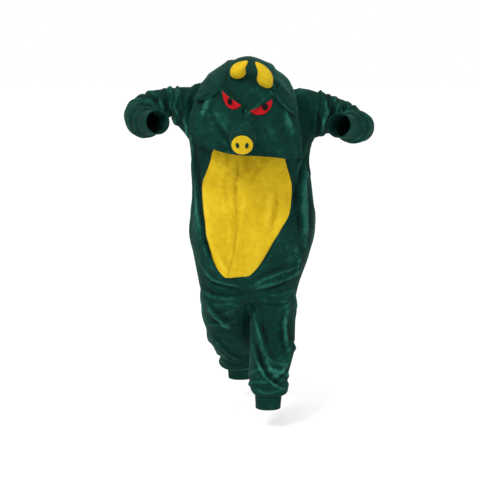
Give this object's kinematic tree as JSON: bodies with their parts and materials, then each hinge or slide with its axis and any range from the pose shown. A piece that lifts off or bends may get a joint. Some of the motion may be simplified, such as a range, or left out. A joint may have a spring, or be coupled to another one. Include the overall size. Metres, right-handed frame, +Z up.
{
  "type": "buffalo onesie",
  "caption": "Child's hooded animal onesie in green velour fleece with a yellow belly, horns, ears and snout, hollow, in a worn pose.",
  "frame": {"origin": "base of the neck between the shoulders, where the wearer carries the garment", "axes": "+Z up along the wearer's back; the front of the garment faces -Y and its left side is +X"},
  "size_m": [0.7027, 0.515, 1.0021],
  "materials": {
    "green_velour": "matte",
    "yellow_velour": "matte",
    "red_felt": "matte",
    "black_felt": "matte",
    "dark_green_felt": "matte"
  },
  "bodies": {
    "root": {"back_left": "green_velour", "back_right": "green_velour", "belly_left": "yellow_velour", "belly_right": "yellow_velour", "chin_left": "yellow_velour", "chin_right": "yellow_velour", "ear_left": "green_velour", "ear_right": "green_velour", "eye_left": "red_felt", "eye_right": "red_felt", "front_left": "green_velour", "front_right": "green_velour", "hood_side_left": "green_velour", "hood_side_right": "green_velour", "hood_top": "green_velour", "horn_left": "yellow_velour", "horn_right": "yellow_velour", "leg_cuff_left": "green_velour", "leg_cuff_right": "green_velour", "nostril_left": "dark_green_felt", "nostril_right": "dark_green_felt", "pupil_left": "black_felt", "pupil_right": "black_felt", "sleeve_cuff_left": "green_velour", "sleeve_cuff_right": "green_velour", "sleeve_left": "green_velour", "sleeve_right": "green_velour", "snout": "green_velour", "snout_disc": "yellow_velour"}
  },
  "joints": []
}
